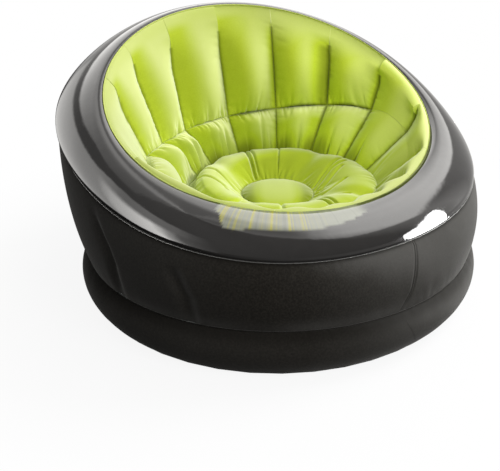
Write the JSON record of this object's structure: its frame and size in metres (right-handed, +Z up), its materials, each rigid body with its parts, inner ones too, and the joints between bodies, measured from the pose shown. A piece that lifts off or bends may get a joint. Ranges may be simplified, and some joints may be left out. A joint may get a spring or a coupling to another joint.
{
  "type": "inflatable chair",
  "caption": "Round inflatable lounge chair with a flocked cell-lined bowl, a glossy sloping rim and a pinched flocked wall on a base ring.",
  "frame": {"origin": "on the floor under the middle of the seat button, in the plane of the flat bottom sheet", "axes": "+Z up, -Y towards the low open front, +X to the right as seen from the front"},
  "size_m": [1.1177, 1.0927, 0.6855],
  "materials": {
    "green_flock": "short lime flock on vinyl sheet, matt with a soft sheen",
    "black_flock": "short charcoal flock on vinyl sheet, matt and slightly mottled",
    "gloss_vinyl": "smooth dark grey vinyl with a high gloss",
    "plain_vinyl": "satin black vinyl sheet",
    "web_vinyl": "milky grey vinyl sheet",
    "valve_plastic": "soft black moulded vinyl",
    "seal_rubber": "soft grey rubber"
  },
  "bodies": {
    "chair": {"upper_cell_left_1": "green_flock", "lower_cell_left_1": "green_flock", "front_cell_left_1": "green_flock", "upper_cell_left_2": "green_flock", "lower_cell_left_2": "green_flock", "front_cell_left_2": "green_flock", "upper_cell_left_3": "green_flock", "lower_cell_left_3": "green_flock", "front_cell_left_3": "green_flock", "upper_cell_left_4": "green_flock", "lower_cell_left_4": "green_flock", "front_cell_left_4": "green_flock", "upper_cell_right_1": "green_flock", "lower_cell_right_1": "green_flock", "front_cell_right_1": "green_flock", "upper_cell_right_2": "green_flock", "lower_cell_right_2": "green_flock", "front_cell_right_2": "green_flock", "upper_cell_right_3": "green_flock", "lower_cell_right_3": "green_flock", "front_cell_right_3": "green_flock", "upper_cell_right_4": "green_flock", "lower_cell_right_4": "green_flock", "front_cell_right_4": "green_flock", "seat_ring": "green_flock", "seat_button": "green_flock", "side_wall": "black_flock", "base_wall": "black_flock", "rim": "gloss_vinyl", "bottom_sheet": "plain_vinyl", "rib_back": "web_vinyl", "rib_front": "web_vinyl", "rib_left_1": "web_vinyl", "rib_left_2": "web_vinyl", "rib_left_3": "web_vinyl", "rib_left_4": "web_vinyl", "rib_left_5": "web_vinyl", "rib_left_6": "web_vinyl", "rib_left_7": "web_vinyl", "rib_right_1": "web_vinyl", "rib_right_2": "web_vinyl", "rib_right_3": "web_vinyl", "rib_right_4": "web_vinyl", "rib_right_5": "web_vinyl", "rib_right_6": "web_vinyl", "rib_right_7": "web_vinyl", "waist_web": "web_vinyl", "seat_web": "web_vinyl", "button_web": "web_vinyl", "valve_base": "valve_plastic"},
    "gasket": {"valve_gasket": "seal_rubber"},
    "plug": {"valve_plug": "valve_plastic"},
    "stopper": {"valve_stopper": "valve_plastic", "stopper_strap": "valve_plastic"},
    "flap": {"check_flap": "seal_rubber"}
  },
  "joints": [
    {"name": "valve_lift", "type": "slide", "parent": "chair", "child": "gasket", "axis": [0, 0.9805, -0.1968], "range_m": [0, 0.0048]},
    {"name": "valve_turn", "type": "hinge", "parent": "gasket", "child": "plug", "pos_m": [0, 0.52266, 0.215], "axis": [0, 0.9805, -0.1968], "range_deg": [0, 540]},
    {"name": "stopper_hinge", "type": "hinge", "parent": "plug", "child": "stopper", "pos_m": [0, 0.53029, 0.19511], "axis": [-1, 0, 0], "range_deg": [0, 150]},
    {"name": "flap_hinge", "type": "hinge", "parent": "plug", "child": "flap", "pos_m": [0, 0.51159, 0.22793], "axis": [-1, 0, 0], "range_deg": [0, 50], "stiffness_Nm_per_rad": 0.0002}
  ],
  "couplings": [
    {"joint": "valve_turn", "follows": "valve_lift", "rad_per_m": 1963.5}
  ]
}
